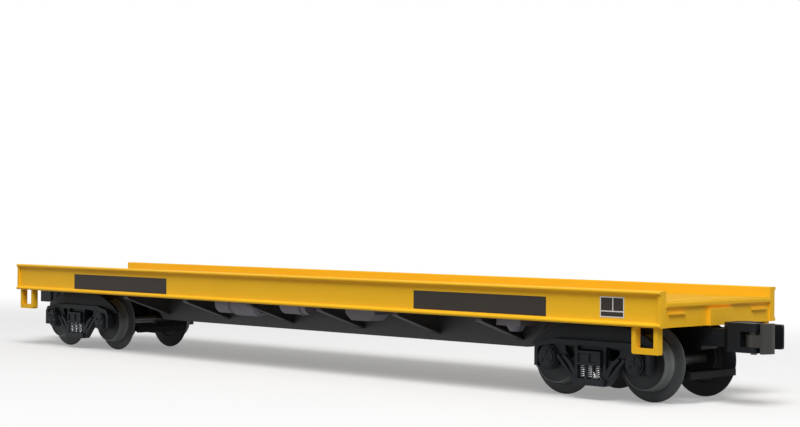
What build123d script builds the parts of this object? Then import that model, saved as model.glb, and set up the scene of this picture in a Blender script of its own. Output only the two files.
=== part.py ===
from build123d import *
import os

# A 1:48 model flatcar for toy track, in millimetres. X runs along the car, Y across it and Z up.
# The origin is midway along the car, on the floor that the wheel flanges stand on.
os.makedirs("parts", exist_ok=True)

# Wheels and axles
flange_radius = 12.8
root_radius = 9.2
rim_radius = 8.4
running_radius = 8.75
wheel_back_y = 14.1
wheel_face_y = 19.4
flange_thickness = 1.3
flange_tip = 0.5
root_run = 0.4
rim_width = 1.0
dish_depth = 1.1
dish_draft = 0.4
hub_radius = 3.0
axle_radius = 1.5
axle_step = 0.4
pivot_radius = 1.0
pivot_end_y = 22.4
running_clearance = 0.06
wheelbase = 36.0

# Heights, counted from the rail head
rail_z = flange_radius - running_radius
axle_z = flange_radius
sill_bottom_height = 21.2
sill_bottom_z = rail_z + sill_bottom_height
sill_height = 11.4
sill_top_z = sill_bottom_z + sill_height
deck_recess = 3.2
deck_top_z = sill_top_z - deck_recess
deck_thickness = 1.6
deck_bottom_z = deck_top_z - deck_thickness

# Body
body_length = 356.0
flange_half_width = 32.7
sill_flange_reach = 1.3
sill_flange_thickness = 1.2
sill_web_thickness = 2.0
sill_edge_round = 0.3
end_rib_width = 1.3
end_rib_proud = 0.7
lip_overhang = 0.6
board_pitch = 2.4
groove_half_width = 0.2
groove_depth = 0.3
end_plate_thickness = 2.4
draft_sill_lift = 0.8
striker_half_width = 6.4
striker_proud = 1.4
striker_top_gap = 1.1
grab_inset = 6.2
grab_length = 8.6
grab_bar = 0.5
grab_proud = 0.7
grab_height = 25.5
grab_z = rail_z + grab_height
truck_inset = 34.0

web_y = flange_half_width - sill_flange_reach
wall_y = web_y - sill_web_thickness
half_length = body_length / 2
end_face_x = half_length - lip_overhang
truck_x = half_length - truck_inset

# Body bolster and its pivot boss
bolster_half_length = 13.0
bolster_lift = 1.2
bolster_bottom_z = sill_bottom_z + bolster_lift
bolster_wall = 1.6
bolster_rib_half_width = 2.5
boss_radius = 6.5
kingpin_radius = 1.6
kingpin_head_radius = 3.2
kingpin_head_height = 1.4
centre_plate_gap = 0.1

# Corner steps
step_inset = 1.7
step_width = 10.0
step_depth = 2.5
step_drop = 8.4
step_post = 1.6
step_tread = 1.8
step_corner_round = 0.8

# Underframe, its ends counted back from the trucks
sill_half_width = 6.5
sill_deep_height = 10.0
sill_deep_z = rail_z + sill_deep_height
sill_deep_inset = 41.0
sill_slope_inset = 26.5
sill_end_inset = 13.2
sill_deep_half_length = truck_x - sill_deep_inset
sill_slope_end_x = truck_x - sill_slope_inset
sill_end_x = truck_x - sill_end_inset
sill_corner_round = 3.0
rib_half_width = 2.2
rib_bottom_height = 17.6
rib_bottom_z = rail_z + rib_bottom_height
bearer_inset = 3.0
bearer_pairs = 3
bearer_web = 1.0
bearer_flange = 3.0
bearer_flange_thickness = 0.7
bearer_low_height = 12.3
bearer_low_z = rail_z + bearer_low_height
bearer_high_height = 19.8
bearer_high_z = rail_z + bearer_high_height
bearer_end_gap = 0.3

# Brake gear under the deck
gear_y = -20.0
tank_axis_height = 19.9
tank_dome = 1.2
casting_round = 1.2
pipe_radius = 1.6
bracket_thickness = 1.6
bracket_half_width = 3.0
cylinder_axis_height = 21.2
cylinder_length = 14.4
cylinder_radius = 4.0
cylinder_flange = 0.8
cylinder_rod_radius = 1.0
valve_foot_height = 16.7
valve_top_length = 15.4
valve_foot_length = 9.0
valve_width = 8.0
valve_draft_height = 2.4
box_inset = 34.9
box_length = 10.7
box_width = 8.0
box_height = 9.4
bowl_radius = 3.3
bowl_depth = 2.0
bowl_taper = 30.0

# Truck frame, places counted from the truck's centre
housing_radius = 4.2
frame_inner_y = 21.0
frame_web_y = 22.5
frame_outer_y = 23.7
frame_top_height = 15.2
frame_top_z = rail_z + frame_top_height
frame_bottom_height = 0.7
frame_bottom_z = rail_z + frame_bottom_height
chord_depth = 1.7
frame_rib = 0.9
ridge_width = 1.3
seat_half_width = 6.4
seat_height = 2.9
seat_z = rail_z + seat_height
seat_lip_y = 24.7
opening_half_width = 5.2
column_width = 1.2
opening_top_height = 12.3
opening_top_z = rail_z + opening_top_height
leg_inner_x = wheelbase / 2 + housing_radius
leg_width = 1.4
leg_outer_x = leg_inner_x + leg_width
leg_bottom_height = 5.8
leg_bottom_z = rail_z + leg_bottom_height
pedestal_inner_x = wheelbase / 2 - 3.8
shoulder_x = wheelbase / 2 - 2.5
shoulder_end_x = wheelbase / 2 + 4.4
shoulder_end_height = 13.7
shoulder_end_z = rail_z + shoulder_end_height
leg_top_height = 11.8
leg_top_z = rail_z + leg_top_height
tension_top_height = 9.6
tension_top_z = rail_z + tension_top_height
window_inner_x = 6.6
window_outer_x = 11.2
window_foot_x = 9.2
window_top_height = 13.1
window_side_height = 11.5
window_foot_height = 9.1
window_top_z = rail_z + window_top_height
window_side_z = rail_z + window_side_height
window_foot_z = rail_z + window_foot_height
pedestal_bottom_height = 6.4
pedestal_bottom_z = rail_z + pedestal_bottom_height
beam_half_width = 4.9
beam_end_y = 24.9
beam_low_height = 7.4
beam_low_z = rail_z + beam_low_height
beam_high_height = 11.9
beam_high_z = rail_z + beam_high_height
beam_centre_low_height = 6.2
beam_centre_low_z = rail_z + beam_centre_low_height
beam_centre_half_width = 7.0
beam_taper_inner_y = 8.0
beam_taper_outer_y = 13.6
pocket_depth = 0.5
pocket_rim = 0.7
bearing_inner_y = 8.5
bearing_outer_y = 20.0
bearing_half_width = 7.6
bearing_cap_inner_y = 16.0
bearing_low_height = 15.6
bearing_low_z = rail_z + bearing_low_height
bearing_top_height = 19.2
bearing_top_z = rail_z + bearing_top_height
plate_radius = 6.0
plate_thickness = 0.8
plate_top_height = 17.2
plate_top_z = rail_z + plate_top_height
housing_face_y = 23.2
cap_radius = 3.6
cap_rim_y = 24.1
cap_step_radius = 2.9
cap_face_y = 24.5
spring_radius = 1.35
spring_pitch = 3.1
spring_y = 23.2
tongue_thickness = 1.3
tongue_half_width = 4.5
tongue_length = 30.0
shank_bottom_height = 14.5
shank_bottom_z = rail_z + shank_bottom_height
shank_top_height = 20.2
shank_top_z = rail_z + shank_top_height
shank_half_width = 4.5
shank_start = 9.0

# Brake beams
brake_bar_x = 30.8
brake_bar_depth = 2.2
brake_bar_width = 1.8
brake_bar_half_length = 12.8
brake_arm_y = 8.2
brake_arm_width = 1.2

# Coupler, places counted from the truck's centre
head_back_x = 38.6
head_shoulder_x = 41.0
head_mid_x = 46.0
guard_front_x = 55.2
head_half_width = 6.2
head_bottom_height = 13.2
head_bottom_z = rail_z + head_bottom_height
head_top_height = 22.5
head_top_z = rail_z + head_top_height
guard_bottom_height = 14.2
guard_bottom_z = rail_z + guard_bottom_height
guard_top_height = 21.9
guard_top_z = rail_z + guard_top_height
guard_inner_y = 3.3
guard_outer_x = 53.0
guard_round = 1.2
head_edge_round = 0.7
pin_x = 49.3
pin_y = -4.0
pin_radius = 1.0
pin_below = 0.5
ear_radius = 2.3
lower_ear_thickness = 1.8
upper_ear_thickness = 2.6
knuckle_hub_radius = 2.5
hub_room = 3.6
hub_collar_radius = 1.7
hub_collar_height = 0.9
knuckle_back_x = 53.1
knuckle_inner_y = -1.2
knuckle_side_x = 54.0
knuckle_outer_y = -6.5
knuckle_front_x = 55.3
hook_back_x = 53.6
hook_tip_y = -0.6
hook_round = 1.4
knuckle_bottom_height = 13.1
knuckle_bottom_z = rail_z + knuckle_bottom_height
knuckle_top_height = 22.6
knuckle_top_z = rail_z + knuckle_top_height
knuckle_side_gap = 0.1


def save(shape, name, turn=0):
    """Write one piece, turned about the car's centre where it belongs to the other end."""
    placed = shape.rotate(Axis.Z, turn) if turn else shape
    placed.label = name
    export_step(placed, f"parts/{name}.step")


# Each row: end of the car, its turn, and the sides where a piece made at -Y and one at +Y come to lie
ENDS = (("front", 0, "right", "left"), ("rear", 180, "left", "right"))

# Deck, with a groove between the boards
with BuildPart() as deck:
    with BuildSketch(Plane.XZ.offset(wall_y)):
        board_count = round(body_length / board_pitch)
        board_step = body_length / board_count
        top_line = [(-half_length, deck_bottom_z), (-half_length, deck_top_z)]
        for number in range(1, board_count):
            groove_x = number * board_step - half_length
            top_line.append((groove_x - groove_half_width, deck_top_z))
            top_line.append((groove_x, deck_top_z - groove_depth))
            top_line.append((groove_x + groove_half_width, deck_top_z))
        top_line += [(half_length, deck_top_z), (half_length, deck_bottom_z)]
        with BuildLine():
            Polyline(top_line, close=True)
        make_face()
    extrude(amount=-2 * wall_y)
save(deck.part, "deck")

# Side sill, an outward channel with a rib at each end
with BuildPart() as side_sill:
    with BuildSketch(Plane.YZ.offset(-half_length)):
        with BuildLine():
            Polyline(
                (-wall_y, sill_bottom_z),
                (-flange_half_width, sill_bottom_z),
                (-flange_half_width, sill_bottom_z + sill_flange_thickness),
                (-web_y, sill_bottom_z + sill_flange_thickness),
                (-web_y, sill_top_z - sill_flange_thickness),
                (-flange_half_width, sill_top_z - sill_flange_thickness),
                (-flange_half_width, sill_top_z),
                (-wall_y, sill_top_z),
                close=True,
            )
        sill_face = make_face()
        outer_corners = sill_face.vertices().sort_by(Axis.Y)[:4]
        fillet(outer_corners, sill_edge_round)
    extrude(amount=body_length)
    rib_height = sill_height - 2 * sill_flange_thickness
    with Locations(
        (half_length - end_rib_width / 2, -web_y - end_rib_proud / 2, (sill_top_z + sill_bottom_z) / 2),
        (end_rib_width / 2 - half_length, -web_y - end_rib_proud / 2, (sill_top_z + sill_bottom_z) / 2),
    ):
        Box(end_rib_width, end_rib_proud, rib_height)
save(side_sill.part, "side_sill_right")
save(side_sill.part, "side_sill_left", 180)

# End sill with the draft sill behind it, the striker in front and a grab rail each side
with BuildPart() as end_sill:
    plate_height = deck_bottom_z - sill_bottom_z
    with BuildSketch(Plane.XY.offset(sill_bottom_z)):
        with Locations((end_face_x - end_plate_thickness / 2, 0)):
            Rectangle(end_plate_thickness, 2 * wall_y)
    extrude(amount=plate_height)
    with BuildSketch(Plane.XY.offset(sill_bottom_z + draft_sill_lift)):
        draft_start_x = truck_x + bolster_half_length
        with Locations(((draft_start_x + end_face_x) / 2, 0)):
            Rectangle(end_face_x - draft_start_x, 2 * striker_half_width)
    extrude(amount=plate_height - draft_sill_lift)
    with BuildSketch(Plane.XY.offset(sill_bottom_z)):
        with Locations((end_face_x + striker_proud / 2, 0)):
            Rectangle(striker_proud, 2 * striker_half_width)
    extrude(amount=plate_height - striker_top_gap)
    with BuildSketch(Plane.XY.offset(grab_z - grab_bar / 2)):
        for side in (-1, 1):
            with Locations((end_face_x + grab_proud / 2, side * (wall_y - grab_inset))):
                Rectangle(grab_proud, grab_length)
    extrude(amount=grab_bar)
for end, turn, near, far in ENDS:
    save(end_sill.part, f"end_sill_{end}", turn)

# Body bolster: a ribbed frame with the boss that the truck turns under
with BuildPart() as body_bolster:
    with BuildSketch(Plane.XY.offset(bolster_bottom_z)):
        with Locations((truck_x, 0)):
            Rectangle(2 * bolster_half_length, 2 * wall_y)
        pocket_length = bolster_half_length - bolster_wall - bolster_rib_half_width
        pocket_width = wall_y - bolster_wall - bolster_rib_half_width
        for side in (-1, 1):
            for across in (-1, 1):
                pocket_x = truck_x + side * (bolster_rib_half_width + pocket_length / 2)
                pocket_y = across * (bolster_rib_half_width + pocket_width / 2)
                with Locations((pocket_x, pocket_y)):
                    Rectangle(pocket_length, pocket_width, mode=Mode.SUBTRACT)
    extrude(amount=deck_bottom_z - bolster_bottom_z)
    boss_bottom_z = plate_top_z + centre_plate_gap
    with BuildSketch(Plane.XY.offset(boss_bottom_z)):
        with Locations((truck_x, 0)):
            Circle(boss_radius)
    extrude(amount=deck_bottom_z - boss_bottom_z)
    with BuildSketch(Plane.XY.offset(boss_bottom_z)):
        with Locations((truck_x, 0)):
            Circle(kingpin_radius)
    extrude(amount=deck_bottom_z - boss_bottom_z, mode=Mode.SUBTRACT)
for end, turn, near, far in ENDS:
    save(body_bolster.part, f"body_bolster_{end}", turn)

# Kingpin screw, fixed in the boss, with its head under the truck bolster
kingpin_head_z = beam_centre_low_z
with BuildPart() as kingpin:
    with BuildSketch(Plane.XY.offset(kingpin_head_z)):
        with Locations((truck_x, 0)):
            Circle(kingpin_head_radius)
    extrude(amount=kingpin_head_height)
    with BuildSketch(Plane.XY.offset(kingpin_head_z)):
        with Locations((truck_x, 0)):
            Circle(kingpin_radius)
    extrude(amount=deck_bottom_z - kingpin_head_z)
for end, turn, near, far in ENDS:
    save(kingpin.part, f"kingpin_{end}", turn)

# Corner steps, open frames hung from the side sills
with BuildPart() as step:
    step_x = half_length - step_inset - step_width / 2
    with BuildSketch(Plane.XZ.offset(web_y)):
        with Locations((step_x, sill_bottom_z - step_drop / 2)):
            frame_face = Rectangle(step_width, step_drop)
        low_corners = frame_face.vertices().sort_by(Axis.Z)[:2]
        fillet(low_corners, step_corner_round)
        with Locations((step_x, sill_bottom_z - (step_drop - step_tread) / 2)):
            Rectangle(step_width - 2 * step_post, step_drop - step_tread, mode=Mode.SUBTRACT)
    extrude(amount=-step_depth)
far_step = step.part.mirror(Plane.XZ)
for end, turn, near, far in ENDS:
    save(step.part, f"step_{end}_{near}", turn)
    save(far_step, f"step_{end}_{far}", turn)

# Stub of the centre sill between the fish belly and the body bolster
with BuildPart() as stub_sill:
    with BuildSketch(Plane.XY.offset(bolster_bottom_z)):
        with Locations(((sill_slope_end_x + sill_end_x) / 2, 0)):
            Rectangle(sill_end_x - sill_slope_end_x, 2 * sill_half_width)
    extrude(amount=deck_bottom_z - bolster_bottom_z)

# Rib under the stub, from the fish belly's slope to the pivot boss
with BuildPart() as centre_rib:
    slope_share = (bolster_bottom_z - rib_bottom_z) / (bolster_bottom_z - sill_deep_z)
    rib_foot_x = sill_slope_end_x - slope_share * (sill_slope_end_x - sill_deep_half_length)
    rib_end_x = truck_x - boss_radius
    with BuildSketch(Plane.XZ.offset(rib_half_width)):
        with BuildLine():
            Polyline(
                (sill_slope_end_x, bolster_bottom_z),
                (rib_foot_x, rib_bottom_z),
                (rib_end_x, rib_bottom_z),
                (rib_end_x, bolster_bottom_z),
                close=True,
            )
        make_face()
    extrude(amount=-2 * rib_half_width)
for end, turn, near, far in ENDS:
    save(stub_sill.part, f"stub_sill_{end}", turn)
    save(centre_rib.part, f"centre_rib_{end}", turn)

# Underframe: the deep centre sill and six tapered crossbearers
with BuildPart() as underframe:
    with BuildSketch(Plane.XZ.offset(sill_half_width)):
        with BuildLine():
            Polyline(
                (-sill_slope_end_x, deck_bottom_z),
                (-sill_slope_end_x, bolster_bottom_z),
                (-sill_deep_half_length, sill_deep_z),
                (sill_deep_half_length, sill_deep_z),
                (sill_slope_end_x, bolster_bottom_z),
                (sill_slope_end_x, deck_bottom_z),
                close=True,
            )
        belly_face = make_face()
        fillet(belly_face.vertices().sort_by(Axis.Z)[:2], sill_corner_round)
    extrude(amount=-2 * sill_half_width)
    bearer_end_y = wall_y - bearer_end_gap
    with BuildSketch(Plane.YZ) as bearer_web_outline:
        with BuildLine():
            Polyline(
                (-bearer_end_y, deck_bottom_z),
                (-bearer_end_y, bearer_high_z),
                (-sill_half_width, bearer_low_z),
                (sill_half_width, bearer_low_z),
                (bearer_end_y, bearer_high_z),
                (bearer_end_y, deck_bottom_z),
                close=True,
            )
        make_face()
    with BuildSketch(Plane.YZ) as bearer_flange_outline:
        for side in (-1, 1):
            with BuildLine():
                Polyline(
                    (side * bearer_end_y, bearer_high_z),
                    (side * sill_half_width, bearer_low_z),
                    (side * sill_half_width, bearer_low_z + bearer_flange_thickness),
                    (side * bearer_end_y, bearer_high_z + bearer_flange_thickness),
                    close=True,
                )
            make_face()
    bearer_spacing = 2 * (sill_deep_half_length - bearer_inset) / (2 * bearer_pairs - 1)
    for number in range(2 * bearer_pairs):
        bearer_x = (number - bearer_pairs + 0.5) * bearer_spacing
        with Locations(Location((bearer_x, 0, 0))):
            add(extrude(bearer_web_outline.sketch, bearer_web / 2, both=True, mode=Mode.PRIVATE))
            add(extrude(bearer_flange_outline.sketch, bearer_flange / 2, both=True, mode=Mode.PRIVATE))
save(underframe.part, "underframe")

# Air reservoir: two tanks end to end, joined by a pipe, on a bracket each. Each row: start x, end x, radius
TANKS = (
    (-1.21 * bearer_spacing, -0.955 * bearer_spacing, 4.0),
    (-0.945 * bearer_spacing, -0.555 * bearer_spacing, 4.6),
)
tank_axis_z = rail_z + tank_axis_height
with BuildPart() as air_reservoir:
    with BuildSketch(Plane.XZ.offset(-gear_y)):
        for tank_start, tank_end, tank_radius in TANKS:
            with BuildLine():
                Polyline(
                    (tank_start, tank_axis_z),
                    (tank_start, tank_axis_z + tank_radius - tank_dome),
                    (tank_start + tank_dome, tank_axis_z + tank_radius),
                    (tank_end - tank_dome, tank_axis_z + tank_radius),
                    (tank_end, tank_axis_z + tank_radius - tank_dome),
                    (tank_end, tank_axis_z),
                    close=True,
                )
            make_face()
        with Locations((TANKS[1][0], tank_axis_z + pipe_radius / 2)):
            Rectangle(2 * pipe_radius, pipe_radius)
    revolve(axis=Axis((0, gear_y, tank_axis_z), (1, 0, 0)))
    with BuildSketch(Plane.XY.offset(tank_axis_z)):
        for tank_start, tank_end, tank_radius in TANKS:
            with Locations(((tank_start + tank_end) / 2, gear_y)):
                Rectangle(bracket_thickness, 2 * bracket_half_width)
    extrude(amount=deck_bottom_z - tank_axis_z)
save(air_reservoir.part, "air_reservoir")

# Brake cylinder, with its pressure head, rod and bracket
cylinder_x = -0.02 * bearer_spacing
cylinder_z = rail_z + cylinder_axis_height
with BuildPart() as brake_cylinder:
    with BuildSketch(Plane.XZ.offset(-gear_y)):
        with Locations((cylinder_x, cylinder_z + cylinder_radius / 2)):
            barrel_face = Rectangle(cylinder_length, cylinder_radius)
        chamfer(barrel_face.vertices().group_by(Axis.Z)[-1].sort_by(Axis.X)[0], tank_dome)
        with Locations((cylinder_x + cylinder_length / 4, cylinder_z + cylinder_radius / 2)):
            Rectangle(cylinder_flange, cylinder_radius + cylinder_flange)
        with Locations((cylinder_x + cylinder_length / 2, cylinder_z + cylinder_rod_radius / 2)):
            Rectangle(2 * cylinder_radius, cylinder_rod_radius)
    revolve(axis=Axis((0, gear_y, cylinder_z), (1, 0, 0)))
    with BuildSketch(Plane.XY.offset(cylinder_z)):
        with Locations((cylinder_x, gear_y)):
            Rectangle(cylinder_length / 2, 2 * bracket_half_width)
    extrude(amount=deck_bottom_z - cylinder_z)
save(brake_cylinder.part, "brake_cylinder")

# Control valve, a casting with a drafted foot
with BuildPart() as control_valve:
    valve_x = 0.92 * bearer_spacing
    valve_bottom_z = rail_z + valve_foot_height
    with BuildSketch(Plane.XZ.offset(-gear_y - valve_width / 2)):
        with BuildLine():
            Polyline(
                (valve_x - valve_top_length / 2, deck_bottom_z),
                (valve_x - valve_top_length / 2, valve_bottom_z + valve_draft_height),
                (valve_x - valve_foot_length / 2, valve_bottom_z),
                (valve_x + valve_foot_length / 2, valve_bottom_z),
                (valve_x + valve_top_length / 2, valve_bottom_z + valve_draft_height),
                (valve_x + valve_top_length / 2, deck_bottom_z),
                close=True,
            )
        make_face()
    extrude(amount=valve_width)
    fillet(control_valve.edges().filter_by(Axis.Y).group_by(Axis.Z)[0], casting_round)
save(control_valve.part, "control_valve")

# Retainer box with a round bowl under it
with BuildPart() as retainer_box:
    box_x = truck_x - box_inset
    with BuildSketch(Plane.XY.offset(deck_bottom_z)):
        with Locations((box_x, gear_y)):
            Rectangle(box_length, box_width)
    extrude(amount=-box_height)
    with BuildSketch(Plane.XY.offset(deck_bottom_z - box_height)):
        with Locations((box_x, gear_y)):
            Circle(bowl_radius)
    extrude(amount=-bowl_depth, taper=bowl_taper)
save(retainer_box.part, "retainer_box")

# Wheel, a turned dish with a coned tread and a flange
with BuildPart() as wheel:
    with BuildSketch(Plane.YZ):
        with BuildLine():
            Polyline(
                (-wheel_back_y, 0),
                (-wheel_back_y, flange_radius - flange_tip),
                (-wheel_back_y - flange_tip, flange_radius),
                (-wheel_back_y - flange_thickness, flange_radius - 2 * flange_tip),
                (-wheel_back_y - flange_thickness - root_run, root_radius),
                (-wheel_face_y, rim_radius),
                (-wheel_face_y, rim_radius - rim_width),
                (-wheel_face_y + dish_depth, rim_radius - rim_width - dish_draft),
                (-wheel_face_y + dish_depth, hub_radius + dish_draft),
                (-wheel_face_y, hub_radius),
                (-wheel_face_y, 0),
                close=True,
            )
        make_face()
    revolve(axis=Axis.Y)
    Cylinder(axle_radius, 3 * wheel_face_y, rotation=(90, 0, 0), mode=Mode.SUBTRACT)
far_wheel = wheel.part.mirror(Plane.XZ)

# Axle with a coned pivot at each end
with BuildPart() as axle:
    with BuildSketch(Plane.YZ):
        with BuildLine():
            Polyline(
                (-pivot_end_y, 0),
                (-pivot_end_y + pivot_radius, pivot_radius),
                (-wheel_face_y - axle_step, pivot_radius),
                (-wheel_face_y, axle_radius),
                (wheel_face_y, axle_radius),
                (wheel_face_y + axle_step, pivot_radius),
                (pivot_end_y - pivot_radius, pivot_radius),
                (pivot_end_y, 0),
                close=True,
            )
        make_face()
    revolve(axis=Axis.Y)

# Each row: which axle of the truck, distance from the truck's centre
AXLES = (("outer", wheelbase / 2), ("inner", -wheelbase / 2))
for end, turn, near, far in ENDS:
    for position, offset in AXLES:
        spot = Location((truck_x + offset, 0, axle_z))
        save(axle.part.moved(spot), f"axle_{end}_{position}", turn)
        save(wheel.part.moved(spot), f"wheel_{end}_{position}_{near}", turn)
        save(far_wheel.moved(spot), f"wheel_{end}_{position}_{far}", turn)

# Truck sideframe: a cast truss, its chords, columns, ridges and pedestal legs raised from a thin web
FRAME_OUTLINE = (
    (0, frame_bottom_z),
    (seat_half_width, frame_bottom_z),
    (seat_half_width + frame_rib, frame_bottom_z + frame_rib),
    (pedestal_inner_x, tension_top_z),
    (pedestal_inner_x, pedestal_bottom_z),
    (leg_inner_x, pedestal_bottom_z),
    (leg_inner_x, leg_bottom_z),
    (leg_outer_x, leg_bottom_z),
    (leg_outer_x, leg_top_z),
    (shoulder_end_x, shoulder_end_z),
    (shoulder_x, frame_top_z),
    (0, frame_top_z),
)
FRAME_WINDOW = (
    (window_inner_x, window_top_z),
    (window_outer_x, window_top_z),
    (window_outer_x, window_side_z),
    (window_foot_x, window_foot_z),
    (window_inner_x, window_foot_z),
)
TOP_CHORD = (
    (0, frame_top_z),
    (shoulder_x, frame_top_z),
    (shoulder_end_x, shoulder_end_z),
    (leg_outer_x, leg_top_z),
    (leg_outer_x, leg_bottom_z),
    (leg_inner_x, leg_bottom_z),
    (leg_inner_x, leg_top_z - leg_width / 2),
    (shoulder_end_x - frame_rib, shoulder_end_z - leg_width),
    (shoulder_x, frame_top_z - chord_depth),
    (0, frame_top_z - chord_depth),
)
TENSION_EDGE = (
    (seat_half_width, frame_bottom_z),
    (seat_half_width + frame_rib, frame_bottom_z + frame_rib),
    (pedestal_inner_x, tension_top_z),
    (pedestal_inner_x - frame_rib, tension_top_z + frame_rib / 2),
    (seat_half_width, frame_bottom_z + 2 * frame_rib),
)
DIAGONAL_RIDGE = (
    (seat_half_width - frame_rib, seat_z),
    (seat_half_width - frame_rib, seat_z + ridge_width),
    (window_foot_x - ridge_width, window_foot_z - ridge_width),
    (window_outer_x - ridge_width / 4, window_side_z - ridge_width),
    (window_outer_x + ridge_width / 2, window_side_z - 1.5 * ridge_width),
    (window_foot_x, window_foot_z - 1.5 * ridge_width),
    (seat_half_width + frame_rib / 2, seat_z),
)
column_x = opening_half_width + column_width / 2
with BuildPart() as sideframe:
    with BuildSketch(Plane.XZ.offset(frame_inner_y)):
        for side in (-1, 1):
            with BuildLine():
                Polyline([(side * x, z) for x, z in FRAME_OUTLINE], close=True)
            make_face()
        with Locations((0, (seat_z + opening_top_z) / 2)):
            Rectangle(2 * opening_half_width, opening_top_z - seat_z, mode=Mode.SUBTRACT)
        for side in (-1, 1):
            with BuildLine():
                Polyline([(side * x, z) for x, z in FRAME_WINDOW], close=True)
            make_face(mode=Mode.SUBTRACT)
    extrude(amount=frame_web_y - frame_inner_y)
    with BuildSketch(Plane.XZ.offset(frame_inner_y)):
        for side in (-1, 1):
            for raised in (TOP_CHORD, TENSION_EDGE, DIAGONAL_RIDGE):
                with BuildLine():
                    Polyline([(side * x, z) for x, z in raised], close=True)
                make_face()
            with Locations((side * column_x, (seat_z + frame_top_z) / 2)):
                Rectangle(column_width, frame_top_z - seat_z)
    extrude(amount=frame_outer_y - frame_inner_y)
    with BuildSketch(Plane.XZ.offset(frame_inner_y)):
        with Locations((0, (frame_bottom_z + seat_z) / 2)):
            Rectangle(2 * seat_half_width, seat_z - frame_bottom_z)
    extrude(amount=seat_lip_y - frame_inner_y)
    with BuildSketch(Plane.XZ.offset(frame_inner_y)):
        with Locations((-wheelbase / 2, axle_z), (wheelbase / 2, axle_z)):
            Circle(housing_radius)
    extrude(amount=housing_face_y - frame_inner_y)
    with BuildSketch(Plane.XZ.offset(frame_inner_y)):
        with Locations((-wheelbase / 2, axle_z), (wheelbase / 2, axle_z)):
            Circle(pivot_radius + running_clearance)
    extrude(amount=pivot_end_y + running_clearance - frame_inner_y, mode=Mode.SUBTRACT)

# Bearing caps on the sideframe's ends, turned with a step. Each row: radius, outer face
CAP_STEPS = ((cap_radius, cap_rim_y), (cap_step_radius, cap_face_y))
with BuildPart() as near_caps:
    for step_radius, step_face_y in CAP_STEPS:
        with BuildSketch(Plane.XZ.offset(housing_face_y)):
            with Locations((-wheelbase / 2, axle_z), (wheelbase / 2, axle_z)):
                Circle(step_radius)
        extrude(amount=step_face_y - housing_face_y)

# Springs in three columns between the seat and the bolster end
with BuildPart() as near_springs:
    with BuildSketch(Plane.XY.offset(seat_z)):
        with Locations((0, -spring_y)):
            with GridLocations(spring_pitch, 1, 3, 1):
                Circle(spring_radius)
    extrude(amount=beam_low_z - seat_z)

# Truck bolster, from sideframe to sideframe, with the tongue that carries the coupler
with BuildPart() as truck_bolster:
    with BuildSketch(Plane.YZ.offset(-beam_centre_half_width)):
        with BuildLine():
            Polyline(
                (-beam_end_y, beam_low_z),
                (-beam_end_y, beam_high_z),
                (-bearing_outer_y, beam_high_z),
                (-beam_taper_inner_y, plate_top_z - plate_thickness),
                (beam_taper_inner_y, plate_top_z - plate_thickness),
                (bearing_outer_y, beam_high_z),
                (beam_end_y, beam_high_z),
                (beam_end_y, beam_low_z),
                (beam_taper_outer_y, beam_low_z),
                (beam_taper_inner_y, beam_centre_low_z),
                (-beam_taper_inner_y, beam_centre_low_z),
                (-beam_taper_outer_y, beam_low_z),
                close=True,
            )
        make_face()
    extrude(amount=2 * beam_centre_half_width)
    with BuildSketch(Plane.XY):
        with BuildLine():
            Polyline(
                (-beam_half_width, -beam_end_y),
                (beam_half_width, -beam_end_y),
                (beam_half_width, -beam_taper_outer_y),
                (beam_centre_half_width, -beam_taper_inner_y),
                (beam_centre_half_width, beam_taper_inner_y),
                (beam_half_width, beam_taper_outer_y),
                (beam_half_width, beam_end_y),
                (-beam_half_width, beam_end_y),
                (-beam_half_width, beam_taper_outer_y),
                (-beam_centre_half_width, beam_taper_inner_y),
                (-beam_centre_half_width, -beam_taper_inner_y),
                (-beam_half_width, -beam_taper_outer_y),
                close=True,
            )
        make_face()
    extrude(amount=sill_top_z, mode=Mode.INTERSECT)
    with BuildSketch(Plane.XY.offset(plate_top_z - plate_thickness)):
        Circle(plate_radius)
    extrude(amount=plate_thickness)
    bearing_length = bearing_outer_y - bearing_inner_y
    for side in (-1, 1):
        bearing_y = side * (bearing_inner_y + bearing_outer_y) / 2
        with Locations((0, bearing_y, (beam_high_z + bearing_top_z) / 2)):
            Box(2 * beam_half_width, bearing_length, bearing_top_z - beam_high_z)
        cap_y = side * (bearing_cap_inner_y + bearing_outer_y) / 2
        with Locations((0, cap_y, (bearing_low_z + bearing_top_z) / 2)):
            Box(2 * bearing_half_width, bearing_outer_y - bearing_cap_inner_y, bearing_top_z - bearing_low_z)
        with BuildSketch(Plane.XZ.offset(side * beam_end_y)):
            pocket_width = beam_half_width - 1.5 * pocket_rim
            for across in (-1, 1):
                with Locations((across * (pocket_rim + pocket_width) / 2, (beam_low_z + beam_high_z) / 2)):
                    Rectangle(pocket_width, beam_high_z - beam_low_z - 2 * pocket_rim)
        extrude(amount=-side * pocket_depth, mode=Mode.SUBTRACT)
    with BuildSketch(Plane.XY.offset(shank_bottom_z - tongue_thickness)):
        with Locations((tongue_length / 2, 0)):
            Rectangle(tongue_length, 2 * tongue_half_width)
    extrude(amount=tongue_thickness)
    with BuildSketch(Plane.XY):
        Circle(kingpin_radius + running_clearance)
    extrude(amount=sill_top_z, mode=Mode.SUBTRACT)
    with BuildSketch(Plane.XY):
        Circle(kingpin_head_radius + 0.3)
    extrude(amount=kingpin_head_z + kingpin_head_height + 0.1, mode=Mode.SUBTRACT)

# Brake beams, one at each end of the truck, on arms under the bolster
with BuildPart() as brake_beams:
    brake_z = beam_centre_low_z - brake_bar_depth / 2
    for side in (-1, 1):
        with Locations((side * brake_bar_x, 0, brake_z)):
            Box(brake_bar_width, 2 * brake_bar_half_length, brake_bar_depth)
    with Locations((0, -brake_arm_y, brake_z), (0, brake_arm_y, brake_z)):
        Box(2 * brake_bar_x, brake_arm_width, brake_bar_depth)

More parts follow.
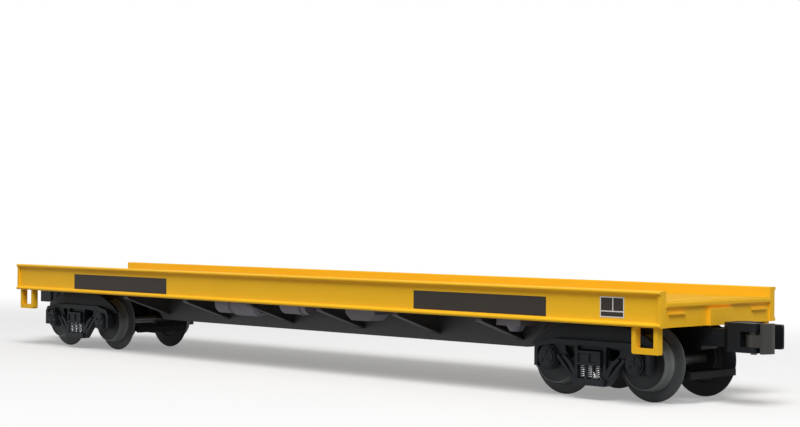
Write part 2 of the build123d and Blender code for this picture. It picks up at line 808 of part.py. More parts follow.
# Coupler: shank, head with the guard arm, and the ears for the knuckle pin
shank_middle_z = (shank_bottom_z + shank_top_z) / 2
lower_ear_top_z = head_bottom_z + lower_ear_thickness
upper_ear_bottom_z = head_top_z - upper_ear_thickness
with BuildPart() as coupler:
    with BuildSketch(Plane.XY.offset(shank_bottom_z)):
        with Locations(((shank_start + head_shoulder_x) / 2, 0)):
            Rectangle(head_shoulder_x - shank_start, 2 * shank_half_width)
    extrude(amount=shank_top_z - shank_bottom_z)
    with BuildSketch(Plane.XY.offset(head_bottom_z)):
        with BuildLine():
            Polyline(
                (head_back_x, -shank_half_width),
                (head_shoulder_x, -head_half_width),
                (head_mid_x, -head_half_width),
                (head_mid_x, head_half_width),
                (head_shoulder_x, head_half_width),
                (head_back_x, shank_half_width),
                close=True,
            )
        make_face()
    extrude(amount=head_top_z - head_bottom_z)
    fillet(coupler.edges().group_by(Axis.Z)[-1].filter_by(Axis.Y, reverse=True), head_edge_round)
    with BuildSketch(Plane.XZ.offset(-guard_inner_y)):
        guard_start_x = head_mid_x - guard_round
        with Locations(((guard_start_x + guard_front_x) / 2, (guard_bottom_z + guard_top_z) / 2)):
            RectangleRounded(guard_front_x - guard_start_x, guard_top_z - guard_bottom_z, guard_round)
    extrude(amount=-(head_half_width + head_edge_round - guard_inner_y))
    with BuildSketch(Plane.XY.offset(guard_bottom_z)):
        with BuildLine():
            Polyline(
                (guard_front_x, guard_inner_y + head_edge_round),
                (guard_front_x, head_half_width + head_edge_round),
                (guard_outer_x, head_half_width + head_edge_round),
                close=True,
            )
        make_face()
    extrude(amount=guard_top_z - guard_bottom_z, mode=Mode.SUBTRACT)
    with BuildSketch(Plane.XY.offset(head_bottom_z)):
        with Locations((pin_x, pin_y)):
            Circle(ear_radius)
        with Locations(((head_shoulder_x + pin_x) / 2, pin_y)):
            Rectangle(pin_x - head_shoulder_x, 2 * ear_radius)
    extrude(amount=head_top_z - head_bottom_z)
    with BuildSketch(Plane.XY.offset(lower_ear_top_z)):
        with Locations((pin_x, pin_y)):
            Rectangle(2 * hub_room, 2 * hub_room)
    extrude(amount=upper_ear_bottom_z - lower_ear_top_z, mode=Mode.SUBTRACT)
    with BuildSketch(Plane.XY.offset(head_bottom_z)):
        with Locations((pin_x, pin_y)):
            Circle(pin_radius)
    extrude(amount=head_top_z - head_bottom_z, mode=Mode.SUBTRACT)

# Knuckle pin, fixed in the ears
with BuildPart() as knuckle_pin:
    with BuildSketch(Plane.XY.offset(head_bottom_z - pin_below)):
        with Locations((pin_x, pin_y)):
            Circle(pin_radius)
    extrude(amount=head_top_z - head_bottom_z + pin_below)

# Knuckle, a hooked jaw on a hub between the ears
hub_bottom_z = lower_ear_top_z + knuckle_side_gap
hub_top_z = upper_ear_bottom_z - knuckle_side_gap
with BuildPart() as knuckle:
    with BuildSketch(Plane.XY.offset(hub_bottom_z)):
        with Locations((pin_x, pin_y)):
            Circle(knuckle_hub_radius)
        with Locations(((pin_x + hook_back_x) / 2, pin_y)):
            Rectangle(hook_back_x - pin_x, 2 * ear_radius)
    extrude(amount=hub_top_z - hub_collar_height - hub_bottom_z)
    with BuildSketch(Plane.XY.offset(hub_bottom_z)):
        with Locations((pin_x, pin_y)):
            Circle(hub_collar_radius)
    extrude(amount=hub_top_z - hub_bottom_z)
    with BuildSketch(Plane.XY.offset(knuckle_bottom_z)):
        with BuildLine():
            Polyline(
                (knuckle_back_x, knuckle_outer_y),
                (knuckle_side_x, knuckle_outer_y),
                (knuckle_front_x, knuckle_outer_y / 2),
                (knuckle_front_x, hook_tip_y),
                (hook_back_x, hook_tip_y),
                (hook_back_x, knuckle_inner_y),
                (knuckle_back_x, knuckle_inner_y),
                close=True,
            )
        jaw_face = make_face()
        front_corners = jaw_face.vertices().group_by(Axis.X)[-1]
        fillet(front_corners, hook_round)
    extrude(amount=knuckle_top_z - knuckle_bottom_z)
    with BuildSketch(Plane.XY.offset(hub_bottom_z)):
        with Locations((pin_x, pin_y)):
            Circle(pin_radius + running_clearance)
    extrude(amount=hub_top_z - hub_bottom_z, mode=Mode.SUBTRACT)

# Truck pieces, placed at each end
truck_spot = Location((truck_x, 0, 0))
for end, turn, near, far in ENDS:
    save(sideframe.part.moved(truck_spot), f"sideframe_{end}_{near}", turn)
    save(sideframe.part.mirror(Plane.XZ).moved(truck_spot), f"sideframe_{end}_{far}", turn)
    save(truck_bolster.part.moved(truck_spot), f"truck_bolster_{end}", turn)
    save(brake_beams.part.moved(truck_spot), f"brake_beams_{end}", turn)
    save(coupler.part.moved(truck_spot), f"coupler_{end}", turn)
    save(knuckle_pin.part.moved(truck_spot), f"knuckle_pin_{end}", turn)
    save(knuckle.part.moved(truck_spot), f"knuckle_{end}", turn)
    for pieces, name in ((near_caps, "bearing_caps"), (near_springs, "springs")):
        with BuildPart() as both_sides:
            add(pieces.part)
            add(pieces.part.mirror(Plane.XZ))
        save(both_sides.part.moved(truck_spot), f"{name}_{end}", turn)
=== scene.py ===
import math

import bmesh
import bpy
from mathutils import Matrix, Vector


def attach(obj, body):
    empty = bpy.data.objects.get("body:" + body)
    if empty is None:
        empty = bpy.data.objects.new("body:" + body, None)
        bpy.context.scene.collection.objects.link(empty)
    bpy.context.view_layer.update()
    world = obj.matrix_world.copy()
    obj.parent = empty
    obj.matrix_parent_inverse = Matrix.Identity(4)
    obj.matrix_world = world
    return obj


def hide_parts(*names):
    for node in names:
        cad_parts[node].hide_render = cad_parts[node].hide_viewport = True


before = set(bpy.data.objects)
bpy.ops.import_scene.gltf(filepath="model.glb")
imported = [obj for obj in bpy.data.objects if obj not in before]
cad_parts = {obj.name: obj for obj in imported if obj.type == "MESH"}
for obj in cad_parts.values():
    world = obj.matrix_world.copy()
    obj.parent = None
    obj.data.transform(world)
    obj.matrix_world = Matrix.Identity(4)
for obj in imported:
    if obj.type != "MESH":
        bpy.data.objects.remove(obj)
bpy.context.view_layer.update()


# Body: side sills, end sills, bolsters and corner steps.
# On the model they are injection-moulded in ABS and sprayed yellow in one go, so one
# satin paint covers them all, with the faint orange-peel grain of sprayed paint.
class Paint:
    """One output of a node, so that shader maths reads as Python."""

    def __init__(self, tree, socket=None):
        self.tree = tree
        self.socket = socket

    def node(self, kind, settings=None, sockets=None, output=0):
        made = self.tree.nodes.new("ShaderNode" + kind)
        for key, value in (settings or {}).items():
            setattr(made, key, value)
        for key, value in (sockets or {}).items():
            if isinstance(value, Paint):
                self.tree.links.new(value.socket, made.inputs[key])
            else:
                made.inputs[key].default_value = value
        return Paint(self.tree, made.outputs[output])

    def maths(self, operation, *inputs):
        return self.node("Math", {"operation": operation}, dict(enumerate(inputs)))

    def __add__(self, other):
        return self.maths("ADD", self, other)

    def __radd__(self, other):
        return self.maths("ADD", other, self)

    def __sub__(self, other):
        return self.maths("SUBTRACT", self, other)

    def __rsub__(self, other):
        return self.maths("SUBTRACT", other, self)

    def __mul__(self, other):
        return self.maths("MULTIPLY", self, other)

    def __rmul__(self, other):
        return self.maths("MULTIPLY", other, self)

    def __truediv__(self, other):
        return self.maths("DIVIDE", self, other)

    def __abs__(self):
        return self.maths("ABSOLUTE", self)

    def step(self, low, high):
        """0 below low, 1 above high, smooth between."""
        return self.node("MapRange", {"interpolation_type": "SMOOTHSTEP"},
                         {"Value": self, "From Min": low, "From Max": high})

    def mix(self, first, second):
        """A colour from first to second as this value goes from 0 to 1."""
        return self.node("Mix", {"data_type": "RGBA"}, {0: self, 6: first, 7: second}, 2)

    def noise(self, scale, detail=2.0, rough=0.5):
        """Cloudy variation, scale in bumps per metre."""
        return self.node("TexNoise", {}, {"Vector": self, "Scale": scale, "Detail": detail,
                                          "Roughness": rough})

    def stretched(self, scale):
        """The same place, squeezed by a factor along each axis."""
        return self.node("Mapping", {}, {"Vector": self, "Scale": scale})

    def axis(self, index):
        return self.node("SeparateXYZ", {}, {0: self}, index)


def new_finish(name):
    """A new material, and the place on the piece that its patterns read."""
    finish = bpy.data.materials.new(name)
    finish.use_nodes = True
    return finish, Paint(finish.node_tree).node("TexCoord", output="Object")


def set_finish(finish, sockets, relief=None, depth=0.0):
    """Fill the shader's sockets; relief is a bump of this depth in metres."""
    shader = finish.node_tree.nodes["Principled BSDF"]
    if relief:
        sockets["Normal"] = relief.node("Bump", {}, {"Height": relief, "Distance": depth})
    for key, value in sockets.items():
        if isinstance(value, Paint):
            finish.node_tree.links.new(value.socket, shader.inputs[key])
        else:
            shader.inputs[key].default_value = value


def coat(finish, *starts):
    """Give this finish to each CAD piece whose name starts like one of these."""
    for name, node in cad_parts.items():
        if name.startswith(starts):
            node.data.materials.clear()
            node.data.materials.append(finish)


yellow = (1.0, 0.56, 0.020, 1)
yellow_deep = (0.94, 0.49, 0.014, 1)

body_paint, place = new_finish("body_paint")
cloud = place.noise(28.0, 3.0)
speck = place.noise(2600.0, 2.0)
orange_peel = place.noise(900.0, 2.0)
paint_depth = cloud.step(0.3, 0.8) * 0.35 + speck.step(0.55, 0.8) * 0.12
set_finish(body_paint, {
    "Base Color": paint_depth.mix(yellow, yellow_deep),
    "Roughness": 0.40 + 0.10 * cloud + 0.06 * speck,
    "Specular IOR Level": 0.18,
}, orange_peel, 0.000012)
coat(body_paint, "side_sill", "end_sill", "body_bolster", "step")


# Deck: the floor of narrow boards between the sills.
# It is moulded and sprayed with the body. The paint looks flatter there and differs a little
# from board to board. Its colour, darker than the body's, is painted shade, and so is the
# darkening in the grooves between the boards.
deck_length = 0.356
board_count = 148
board_pitch = deck_length / board_count
boards_before = 400.0  # counted from far behind the car, so that no board has a number below 0
groove_half_width = 0.0002
# Darker than the body's yellow: painted shade on the deck.
shaded_deck_yellow = (0.84, 0.45, 0.008, 1)
shaded_deck_yellow_deep = (0.74, 0.37, 0.005, 1)

deck_paint, place = new_finish("deck_paint")
boards = place.axis(0) / board_pitch + boards_before
board = boards.maths("FLOOR", boards)
board_tone = board.node("TexWhiteNoise", {"noise_dimensions": "1D"}, {"W": board})
from_middle = abs(boards.maths("FRACT", boards) - 0.5)
groove = from_middle.step(0.5 - 1.5 * groove_half_width / board_pitch, 0.5)
grain = place.stretched((6.0, 0.35, 1.0)).noise(420.0, 4.0, 0.6)
# Board tone and grain are the paint's own; the groove term is painted shade in the grooves.
deck_tone_and_shade = board_tone * 0.3 + grain.step(0.45, 0.75) * 0.25 + groove * 0.5
set_finish(deck_paint, {
    "Base Color": deck_tone_and_shade.mix(shaded_deck_yellow, shaded_deck_yellow_deep),
    "Roughness": 0.55 + 0.08 * grain + 0.1 * groove,
    "Specular IOR Level": 0.05,
}, grain, 0.000025)
coat(deck_paint, "deck")


# Side sills: outward channels along both sides, with a rib across each end.
# They are moulded in one with the body; their flanges have full round edges that catch the
# light, and a small fillet runs along the web where it meets them.
def finish_piece(name, made, finish, body, smooth=True):
    """Write a bmesh out as a piece at the origin, which rides on its body."""
    mesh = bpy.data.meshes.new(name)
    made.to_mesh(mesh)
    made.free()
    piece = bpy.data.objects.new(name, mesh)
    bpy.context.scene.collection.objects.link(piece)
    mesh.materials.append(finish)
    if smooth:
        mesh.shade_smooth()
        mesh.set_sharp_from_angle(angle=math.radians(35))
    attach(piece, body)
    return piece


def add_block(made, low, high):
    """A box between two corners."""
    cube = bmesh.ops.create_cube(made, size=1.0)
    low, high = Vector(low), Vector(high)
    bmesh.ops.scale(made, vec=high - low, verts=cube["verts"])
    bmesh.ops.translate(made, vec=(low + high) / 2, verts=cube["verts"])


def add_extrusion(made, corners, push):
    """A solid with this outline, pushed along one vector; its first face is returned."""
    face = made.faces.new([made.verts.new(corner) for corner in corners])
    grown = bmesh.ops.extrude_face_region(made, geom=[face], use_keep_orig=True)
    moved = [part for part in grown["geom"] if isinstance(part, bmesh.types.BMVert)]
    bmesh.ops.translate(made, vec=push, verts=moved)
    return face


def round_edges(made, edges, radius, segments=5):
    bmesh.ops.bevel(made, geom=edges, offset=radius, offset_type="OFFSET", affect="EDGES",
                    segments=segments, profile=0.5, material=-1)


def turn_about(made, turn):
    """Turn the whole piece about the upright through the origin."""
    bmesh.ops.rotate(made, matrix=Matrix.Rotation(turn, 3, "Z"), verts=made.verts)


SIDES = (("right", 0.0), ("left", math.pi))
ENDS = (("front", 0.0), ("rear", math.pi))
rail_z = 0.00405
half_length = 0.178
wall_y = 0.0294
web_y = 0.0314
flange_y = 0.0327
flange_thickness = 0.0012
flange_round = 0.00055
web_fillet = 0.0004
wall_round = 0.0003
sill_bottom = rail_z + 0.0212
sill_top = rail_z + 0.0326
end_rib_width = 0.0013
end_rib_proud = 0.0007
end_rib_root = 0.0002
end_rib_inset = 0.00002
same_place = 1e-6
# Each row: distance outwards, height, edge radius
SILL_PROFILE = (
    (wall_y, sill_bottom, 0.0),
    (flange_y, sill_bottom, flange_round),
    (flange_y, sill_bottom + flange_thickness, flange_round),
    (web_y, sill_bottom + flange_thickness, web_fillet),
    (web_y, sill_top - flange_thickness, web_fillet),
    (flange_y, sill_top - flange_thickness, flange_round),
    (flange_y, sill_top, flange_round),
    (wall_y, sill_top, wall_round),
)
for side, turn in SIDES:
    made = bmesh.new()
    add_extrusion(made, [(-half_length, -out, height) for out, height, radius in SILL_PROFILE],
                  (2 * half_length, 0, 0))
    for out, height, radius in SILL_PROFILE:
        if radius:
            long_edge = [edge for edge in made.edges if edge.calc_length() > half_length
                         and all(abs(vert.co.y + out) < same_place
                                 and abs(vert.co.z - height) < same_place for vert in edge.verts)]
            round_edges(made, long_edge, radius)
    for end in (-1, 1):
        rib_x = sorted((end * (half_length - end_rib_width), end * (half_length - end_rib_inset)))
        add_block(made, (rib_x[0], -web_y - end_rib_proud, sill_bottom + flange_thickness / 2),
                  (rib_x[1], -web_y + end_rib_root, sill_top - flange_thickness / 2))
    bmesh.ops.recalc_face_normals(made, faces=made.faces)
    turn_about(made, turn)
    channel = finish_piece(f"channel_{side}", made, body_paint, "car_body")
    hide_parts(f"side_sill_{side}")


# Deck lips: the half-round nosing along each end of the deck.
# It is part of the same moulding and laps over the end plate.
lip_bottom = rail_z + 0.02722
lip_top = rail_z + 0.02944
lip_root = 0.0010
lip_reach = 0.0002
lip_round = 0.00068
for end, turn in ENDS:
    made = bmesh.new()
    add_block(made, (half_length - lip_root, -wall_y, lip_bottom),
              (half_length + lip_reach, wall_y, lip_top))
    nose = [edge for edge in made.edges if all(vert.co.x > half_length for vert in edge.verts)
            and abs(edge.verts[0].co.z - edge.verts[1].co.z) < same_place]
    round_edges(made, nose, lip_round)
    bmesh.ops.recalc_face_normals(made, faces=made.faces)
    turn_about(made, turn)
    finish_piece(f"deck_lip_{end}", made, body_paint, "car_body")


# Panels printed on the side sills: two long dark ones and a small bordered one each side.
# They are pad-printed ink on the model, so each is a very thin plate standing off the web.
# They are left blank, the small one with its ruled lines only.
panel_thickness = 0.00004
line_width = 0.00035
table_divider_x = 0.1588
table_line_z = 0.0255
# Each row: both ends along the car, bottom and top counted from the rail
DARK_PANELS = ((-0.1343, -0.0693, 0.0228, 0.0292), (0.0715, 0.1317, 0.0229, 0.0293))
TABLE_PLATE = (0.1539, 0.1634, 0.0237, 0.0303)


def add_plate(made, low_x, high_x, low_z, high_z, proud):
    """A thin plate on the right-hand web, its heights counted from the rail."""
    add_block(made, (low_x, -web_y - proud, rail_z + low_z), (high_x, -web_y, rail_z + high_z))


panel_ink, place = new_finish("panel_ink")
ink_cloud = place.noise(60.0, 3.0)
ink_grain = place.noise(1800.0, 2.0)
ink_tone = ink_cloud * 0.5 + ink_grain * 0.3
set_finish(panel_ink, {
    "Base Color": ink_tone.mix((0.028, 0.024, 0.020, 1), (0.050, 0.042, 0.035, 1)),
    "Roughness": 0.44 + 0.12 * ink_cloud,
    "Specular IOR Level": 0.2,
}, ink_grain, 0.000006)
rule_ink, place = new_finish("rule_ink")
rule_cloud = place.noise(400.0, 3.0)
set_finish(rule_ink, {
    "Base Color": rule_cloud.mix((0.72, 0.70, 0.66, 1), (0.86, 0.85, 0.82, 1)),
    "Roughness": 0.38 + 0.1 * rule_cloud,
})
low_x, high_x, low_z, high_z = TABLE_PLATE
left_x, right_x = low_x + line_width, high_x - line_width
under_z, over_z = low_z + line_width, high_z - line_width
RULED_LINES = (
    (low_x, high_x, low_z, under_z),
    (low_x, high_x, over_z, high_z),
    (low_x, left_x, under_z, over_z),
    (right_x, high_x, under_z, over_z),
    (left_x, right_x, table_line_z, table_line_z + line_width),
    (table_divider_x, table_divider_x + line_width, table_line_z + line_width, over_z),
)
for side, turn in SIDES:
    dark = bmesh.new()
    for panel in DARK_PANELS + (TABLE_PLATE,):
        add_plate(dark, *panel, panel_thickness)
    turn_about(dark, turn)
    finish_piece(f"panels_{side}", dark, panel_ink, "car_body", False)
    rules = bmesh.new()
    for line in RULED_LINES:
        add_plate(rules, *line, 2 * panel_thickness)
    turn_about(rules, turn)
    finish_piece(f"panel_rules_{side}", rules, rule_ink, "car_body", False)


# Underframe: fish-belly centre sill and crossbearers, a separate moulding in black ABS.
# It isn't painted, so it has the even, slightly waxy sheen of the plastic with fine mould grain.
frame_plastic, place = new_finish("frame_plastic")
flow = place.noise(35.0, 4.0)
mould_grain = place.noise(2200.0, 2.0)
flow_tone = flow * 0.6 + mould_grain * 0.2
set_finish(frame_plastic, {
    "Base Color": flow_tone.mix((0.032, 0.032, 0.034, 1), (0.052, 0.052, 0.054, 1)),
    "Roughness": 0.42 + 0.12 * flow + 0.06 * mould_grain,
}, mould_grain, 0.000012)
coat(frame_plastic, "underframe", "stub_sill", "centre_rib")


# Brake gear: air reservoir, brake cylinder, control valve and retainer box under the deck.
# Small grey mouldings that are glued on, with the flat look of uncoated plastic.
gear_plastic, place = new_finish("gear_plastic")
gear_cloud = place.noise(90.0, 3.0)
gear_grain = place.noise(2400.0, 2.0)
gear_tone = gear_cloud * 0.7 + gear_grain * 0.2
set_finish(gear_plastic, {
    "Base Color": gear_tone.mix((0.190, 0.182, 0.215, 1), (0.260, 0.250, 0.290, 1)),
    "Roughness": 0.46 + 0.12 * gear_cloud,
}, gear_grain, 0.000012)
coat(gear_plastic, "air_reservoir", "brake_cylinder", "control_valve", "retainer_box")


# Truck castings: bolster, sideframes, bearing caps and coupler.
# Zinc die castings sprayed a thin blue-black, so the cast grain shows through the satin paint
# and the raised ribs are rubbed a little lighter. Towards the middle it is darker.
cast_dark = (0.0085, 0.0115, 0.0150, 1)
cast_rubbed = (0.027, 0.032, 0.038, 1)
cast_middle_dark = (0.0062, 0.0076, 0.0096, 1)

cast_paint, place = new_finish("cast_paint")
cast_cloud = place.noise(160.0, 4.0, 0.6)
cast_grain = place.noise(1500.0, 3.0, 0.6)
outward = abs(place.axis(1))
rib = outward.step(0.0229, 0.0240)
rubbed_share = cast_cloud * 0.35 + rib * cast_grain.step(0.35, 0.75) * 0.55
handled = rubbed_share.mix(cast_dark, cast_rubbed)
set_finish(cast_paint, {
    "Base Color": (outward.step(0.0150, 0.0190) + cast_cloud * 0.2).mix(cast_middle_dark, handled),
    "Roughness": 0.36 + 0.14 * cast_cloud + 0.08 * cast_grain,
    "Metallic": 0.1 + 0.15 * rib * cast_cloud,
    "Specular IOR Level": 0.2,
}, cast_grain, 0.00003)
coat(cast_paint, "truck_bolster", "sideframe", "bearing_caps", "coupler")


# Brake beams with their shoes, across both ends of each truck.
# Moulded in unpainted black plastic, which looks flat beside the sprayed castings; their
# near-black colour is darker than the plastic's own and is painted shade.
shaded_beam_black, place = new_finish("shaded_beam_black")
beam_cloud = place.noise(140.0, 3.0)
beam_grain = place.noise(1800.0, 2.0)
set_finish(shaded_beam_black, {
    # Near-black: painted shade on the beams.
    "Base Color": beam_cloud.mix((0.0035, 0.0040, 0.0048, 1), (0.0062, 0.0068, 0.0078, 1)),
    "Roughness": 0.52 + 0.16 * beam_grain,
    "Specular IOR Level": 0.12,
}, beam_grain, 0.000015)
coat(shaded_beam_black, "brake_beams")


# Cap screws and hub on each bearing cap: three hexagon heads round a shallow dome.
# On the model they are cast with the cap, so they carry the same paint.
wheelbase = 0.036
axle_z = 0.0128
cap_face_y = 0.0245
screw_circle = 0.00185
screw_radius = 0.00058
screw_height = 0.00036
screw_taper = 0.86
screw_sides = 6
screws_a_cap = 3
dome_radius = 0.0009
dome_height = 0.0004
dome_taper = 0.6
dome_sides = 24
truck_x = 0.144


def add_stud(made, spot, sides, radius, taper, height):
    """A short tapered stud with its foot on this spot."""
    bmesh.ops.create_cone(made, cap_ends=True, segments=sides, radius1=radius,
                          radius2=radius * taper, depth=height,
                          matrix=spot @ Matrix.Translation((0, 0, height / 2)))


def set_on_truck(made, turn):
    """Carry a piece from the origin to the front truck, or turned to the rear one."""
    bmesh.ops.translate(made, vec=(truck_x, 0, 0), verts=made.verts)
    turn_about(made, turn)


for end, turn in ENDS:
    made = bmesh.new()
    for side in (-1, 1):
        face_out = Matrix.Rotation(math.radians(90) * -side, 4, "X")
        for axle_x in (-wheelbase / 2, wheelbase / 2):
            hub = Matrix.Translation((axle_x, side * cap_face_y, axle_z)) @ face_out
            for number in range(screws_a_cap):
                angle = math.radians(90 + 360 / screws_a_cap * number)
                spot = Matrix.Translation((screw_circle * math.cos(angle),
                                           screw_circle * math.sin(angle), 0))
                add_stud(made, hub @ spot, screw_sides, screw_radius, screw_taper, screw_height)
            add_stud(made, hub, dome_sides, dome_radius, dome_taper, dome_height)
    set_on_truck(made, turn)
    finish_piece(f"cap_screws_{end}", made, cast_paint, f"truck_{end}")


# Truck aprons: a shallow plate behind each sideframe, slanted at its ends.
# It is a zinc casting like the sideframe that it is fixed to, and hides the tops of the wheels.
apron_inner_y = 0.0202
apron_outer_y = 0.0212
apron_round = 0.00018
# Each row: distance along the truck from its middle, height above the rail
APRON_OUTLINE = (
    (-0.0272, 0.0129), (-0.0245, 0.0151), (-0.0207, 0.0172), (-0.0169, 0.0189),
    (-0.0120, 0.0202), (0.0120, 0.0202), (0.0169, 0.0189), (0.0207, 0.0172),
    (0.0243, 0.0151), (0.0243, 0.0125), (-0.0268, 0.0125),
)
for end, turn in ENDS:
    made = bmesh.new()
    for side in (-1, 1):
        corners = [(along, side * apron_outer_y, rail_z + height)
                   for along, height in APRON_OUTLINE]
        face = add_extrusion(made, corners, (0, side * (apron_inner_y - apron_outer_y), 0))
        round_edges(made, list(face.edges), apron_round, 3)
    bmesh.ops.recalc_face_normals(made, faces=made.faces)
    set_on_truck(made, turn)
    finish_piece(f"truck_apron_{end}", made, cast_paint, f"truck_{end}")


# Truck springs: three coil springs in each sideframe, wound from bright plated wire.
# They are the only shiny parts of the truck and stand between the seat and the bolster's end.
spring_y = 0.0232
spring_pitch = 0.0031
spring_radius = 0.00105
wire_radius = 0.00019
wire_sides = 8
coil_turns = 6
steps_a_turn = 16
spring_low_z = rail_z + 0.0029
spring_high_z = rail_z + 0.0074
spring_steps = coil_turns * steps_a_turn
rise = spring_high_z - spring_low_z - 2 * wire_radius
upright_ring = Matrix.Rotation(math.radians(90), 4, "X")

plated_wire, place = new_finish("plated_wire")
plate_cloud = place.noise(900.0, 3.0)
set_finish(plated_wire, {
    "Base Color": plate_cloud.mix((0.17, 0.18, 0.19, 1), (0.40, 0.41, 0.42, 1)),
    "Roughness": 0.20 + 0.16 * plate_cloud,
    "Metallic": 1.0,
})
for end, turn in ENDS:
    made = bmesh.new()
    for side in (-1, 1):
        for column in (-1, 0, 1):
            middle = Vector((column * spring_pitch, side * spring_y, spring_low_z + wire_radius))
            wire = middle + Vector((spring_radius - wire_radius, 0, 0))
            ring = bmesh.ops.create_circle(made, cap_ends=True, segments=wire_sides,
                                           radius=wire_radius,
                                           matrix=Matrix.Translation(wire) @ upright_ring)
            face = ring["verts"][0].link_faces[0]
            bmesh.ops.spin(made, geom=[face] + list(face.edges) + list(face.verts), cent=middle,
                           axis=(0, 0, 1), dvec=(0, 0, rise / spring_steps),
                           angle=math.radians(360 * coil_turns), steps=spring_steps,
                           use_duplicate=False)
    bmesh.ops.recalc_face_normals(made, faces=made.faces)
    set_on_truck(made, turn)
    coils = finish_piece(f"coil_springs_{end}", made, plated_wire, f"truck_{end}")
    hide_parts(f"springs_{end}")


# Wheels: turned from zinc alloy and chemically blackened, a dished face inside a coned tread.
# The lathe leaves fine rings, and running has rubbed the tread brighter. The brighter band at the
# tread's root, the flange's edge and the face's outer rim are painted highlights.
wheel_steps = 96
# Each row: distance from the car's middle line, radius
WHEEL_PROFILE = (
    (0.01410, 0.00150), (0.01410, 0.00480), (0.01432, 0.00510), (0.01432, 0.00770),
    (0.01410, 0.00800), (0.01410, 0.01236), (0.01417, 0.01264), (0.01432, 0.01280),
    (0.01446, 0.01274), (0.01456, 0.01250), (0.01463, 0.01180), (0.01468, 0.01080),
    (0.01474, 0.01000), (0.01484, 0.00957), (0.01504, 0.00934), (0.01540, 0.00923),
    (0.01918, 0.00868), (0.01934, 0.00862), (0.01940, 0.00852), (0.01940, 0.00832),
    (0.01935, 0.00822), (0.01918, 0.00804), (0.01904, 0.00775), (0.01890, 0.00560),
    (0.01890, 0.00400), (0.01896, 0.00352), (0.01922, 0.00326), (0.01937, 0.00306),
    (0.01940, 0.00280), (0.01940, 0.00150),
)
# Each row: where the band starts, is full, fades and ends, from the car's middle line
FLANGE_BAND = (0.01412, 0.0144, 0.0147, 0.0152)
# The root band is a painted highlight along the tread's root; the rim edge is a painted highlight
# on the face's outer rim.
ROOT_HIGHLIGHT = (0.0147, 0.0150, 0.0160, 0.0172)
RIM_HIGHLIGHT = (0.01928, 0.01938)
DISHED_FACE = (0.0186, 0.0189)
rings_pace = 9000.0  # radians of the lathe's ring pattern per metre
black_oxide = (0.010, 0.011, 0.014, 1)
bare_zinc = (0.350, 0.368, 0.370, 1)


def band(across, start, full, fade, end):
    return across.step(start, full) * (1.0 - across.step(fade, end))


blackened, place = new_finish("blackened")
tool_marks = place.noise(700.0, 2.0)
patina = place.noise(140.0, 4.0, 0.6)
across = abs(place.axis(1))
rings = across.maths("SINE", across * rings_pace)
facing = place.node("TexCoord", output="Normal").axis(1)
# Surfaces that face round rather than sideways: wear on the tread, and a painted highlight on the
# flange's edge.
rubbed_and_highlit = 1.0 - abs(facing).step(0.2, 0.6)
# Wear, with painted highlights at the tread's root and on the face's outer rim.
wear_and_highlights = (patina * 0.06 + rubbed_and_highlit * (0.41 + 0.22 * band(across, *ROOT_HIGHLIGHT))
        + band(across, *FLANGE_BAND) * 0.10 + across.step(*RIM_HIGHLIGHT) * 0.24
        + across.step(*DISHED_FACE) * 0.045)
set_finish(blackened, {
    "Base Color": wear_and_highlights.mix(black_oxide, bare_zinc),
    "Roughness": 0.42 + 0.14 * patina - 0.05 * rubbed_and_highlit,
    "Metallic": 0.12 + 0.1 * rubbed_and_highlit,
    "Specular IOR Level": 0.25,
}, tool_marks + rings * 0.4, 0.000014)
# The rear truck is the front one turned round, so its right and left change over
WHEEL_SIDES = {"front": ((-1, "right"), (1, "left")), "rear": ((-1, "left"), (1, "right"))}
for end, turn in ENDS:
    for position, axle_x in (("outer", wheelbase / 2), ("inner", -wheelbase / 2)):
        for side, side_name in WHEEL_SIDES[end]:
            made = bmesh.new()
            corners = [made.verts.new((0, side * out, radius)) for out, radius in WHEEL_PROFILE]
            outline = [made.edges.new(pair) for pair in zip(corners, corners[1:] + corners[:1])]
            bmesh.ops.spin(made, geom=corners + outline, cent=(0, 0, 0), axis=(0, 1, 0),
                           angle=math.radians(360), steps=wheel_steps, use_merge=True,
                           use_duplicate=False)
            bmesh.ops.recalc_face_normals(made, faces=made.faces)
            bmesh.ops.translate(made, vec=(axle_x, 0, axle_z), verts=made.verts)
            set_on_truck(made, turn)
            wheel = f"{end}_{position}_{side_name}"
            turned = finish_piece(f"turned_wheel_{wheel}", made, blackened,
                                  f"wheelset_{end}_{position}")
            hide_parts(f"wheel_{wheel}")


# Axles, kingpin screws and knuckle pins: plain turned steel, dulled by oil.
# They are hidden behind the wheels and under the trucks except for their ends.
turned_steel, place = new_finish("turned_steel")
oil = place.noise(300.0, 4.0, 0.6)
scratch = place.stretched((1.0, 12.0, 1.0)).noise(600.0, 2.0)
set_finish(turned_steel, {
    "Base Color": oil.mix((0.090, 0.092, 0.092, 1), (0.200, 0.200, 0.198, 1)),
    "Roughness": 0.30 + 0.2 * oil,
    "Metallic": 0.5,
}, scratch, 0.000008)
coat(turned_steel, "axle_", "kingpin", "knuckle_pin")


# Knuckles: a separate jaw in each coupler, cast and left in a dull grey-brown finish.
# The cast grain stays on it, and its colour is a little uneven from handling.
worn_jaw, place = new_finish("worn_jaw")
jaw_cloud = place.noise(260.0, 4.0, 0.6)
jaw_grain = place.noise(1700.0, 3.0)
jaw_tone = jaw_cloud * 0.7 + jaw_grain * 0.2
set_finish(worn_jaw, {
    "Base Color": jaw_tone.mix((0.023, 0.023, 0.021, 1), (0.046, 0.045, 0.042, 1)),
    "Roughness": 0.38 + 0.16 * jaw_cloud,
    "Metallic": 0.3,
}, jaw_grain, 0.00002)
coat(worn_jaw, "knuckle_front", "knuckle_rear")


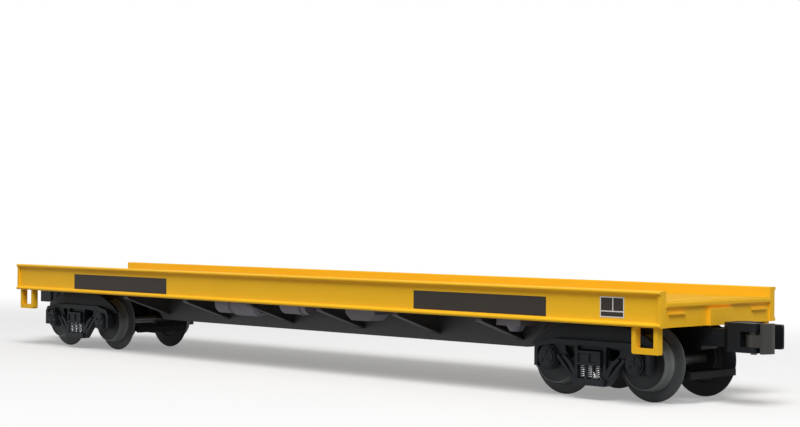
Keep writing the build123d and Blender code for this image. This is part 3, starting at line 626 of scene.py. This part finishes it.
# Studio: a white sweep with soft light from above, as the photograph has.
# The floor is white to the camera and to reflections, and keeps a soft shadow of the wheels.
photo_width = 800
focal_pixels = 1702.1
sensor_width = 36
camera_place = (0.487395, -0.462003, 0.054337 + rail_z)
camera_turn = math.radians(44.484)
camera_tilt = math.radians(90 + 0.184)  # 90 degrees is level
camera_roll = math.radians(0.432)
camera = bpy.data.objects.new("camera", bpy.data.cameras.new("camera"))
bpy.context.scene.collection.objects.link(camera)
camera.data.lens = sensor_width * focal_pixels / photo_width
camera.data.clip_start = 0.05
camera.data.clip_end = 20
camera.matrix_world = (
    Matrix.Translation(camera_place)
    @ Matrix.Rotation(camera_turn, 4, "Z")
    @ Matrix.Rotation(camera_tilt, 4, "X")
    @ Matrix.Rotation(camera_roll, 4, "Z")
)
bpy.context.scene.camera = camera


def seen_share(start):
    """1 for what the eye sees, straight, mirrored or through glass, and 0 for stray light."""
    ways = [start.node("LightPath", output=f"Is {way} Ray")
            for way in ("Camera", "Glossy", "Transmission")]
    return start.maths("MAXIMUM", start.maths("MAXIMUM", ways[0], ways[1]), ways[2])


floor_half_width = 8.0
floor_grey = (0.30, 0.30, 0.30, 1)
floor_pale = (0.95, 0.95, 0.95, 1)
white_near = 0.3  # share of pure white in the floor beside the car
shadow_zone = (0.30, 0.75)  # distances from the car between which the floor turns pure white

sweep = bmesh.new()
bmesh.ops.create_grid(sweep, x_segments=1, y_segments=1, size=floor_half_width)
floor_mesh = bpy.data.meshes.new("floor")
sweep.to_mesh(floor_mesh)
sweep.free()
floor = bpy.data.objects.new("floor", floor_mesh)
bpy.context.scene.collection.objects.link(floor)
floor_white, place = new_finish("floor_white")
looked_at = seen_share(place)
set_finish(floor_white, {
    "Base Color": looked_at.mix(floor_grey, floor_pale),
    "Roughness": 0.9,
    "Specular IOR Level": 0.0,
})
away = place.node("VectorMath", {"operation": "LENGTH"}, {0: place.stretched((1.0, 1.8, 1.0))},
                  "Value")
plain_white = place.node("Emission", {}, {"Color": (1, 1, 1, 1), "Strength": 1.0})
white_share = looked_at * (white_near + (1.0 - white_near) * away.step(*shadow_zone))
floor_nodes = floor_white.node_tree.nodes
lit_floor = Paint(place.tree, floor_nodes["Principled BSDF"].outputs[0])
floor_surface = place.node("MixShader", {}, {0: white_share, 1: lit_floor, 2: plain_white})
place.tree.links.new(floor_surface.socket, floor_nodes["Material Output"].inputs["Surface"])
floor_mesh.materials.append(floor_white)

world_level = 0.25
world = bpy.data.worlds.new("studio")
bpy.context.scene.world = world
world.use_nodes = True
background = world.node_tree.nodes["Background"]
background.inputs["Color"].default_value = (1, 1, 1, 1)
strength = seen_share(Paint(world.node_tree)) * (1.0 - world_level) + world_level
world.node_tree.links.new(strength.socket, background.inputs["Strength"])

softbox = bpy.data.objects.new("softbox", bpy.data.lights.new("softbox", "AREA"))
softbox.data.shape = "SQUARE"
softbox.data.size = 1.1
softbox.data.energy = 36.0
softbox.location = (0.85, -0.85, 1.60)
softbox.rotation_euler = softbox.location.to_track_quat("Z", "Y").to_euler()
bpy.context.scene.collection.objects.link(softbox)
bpy.context.scene.view_settings.view_transform = "Standard"
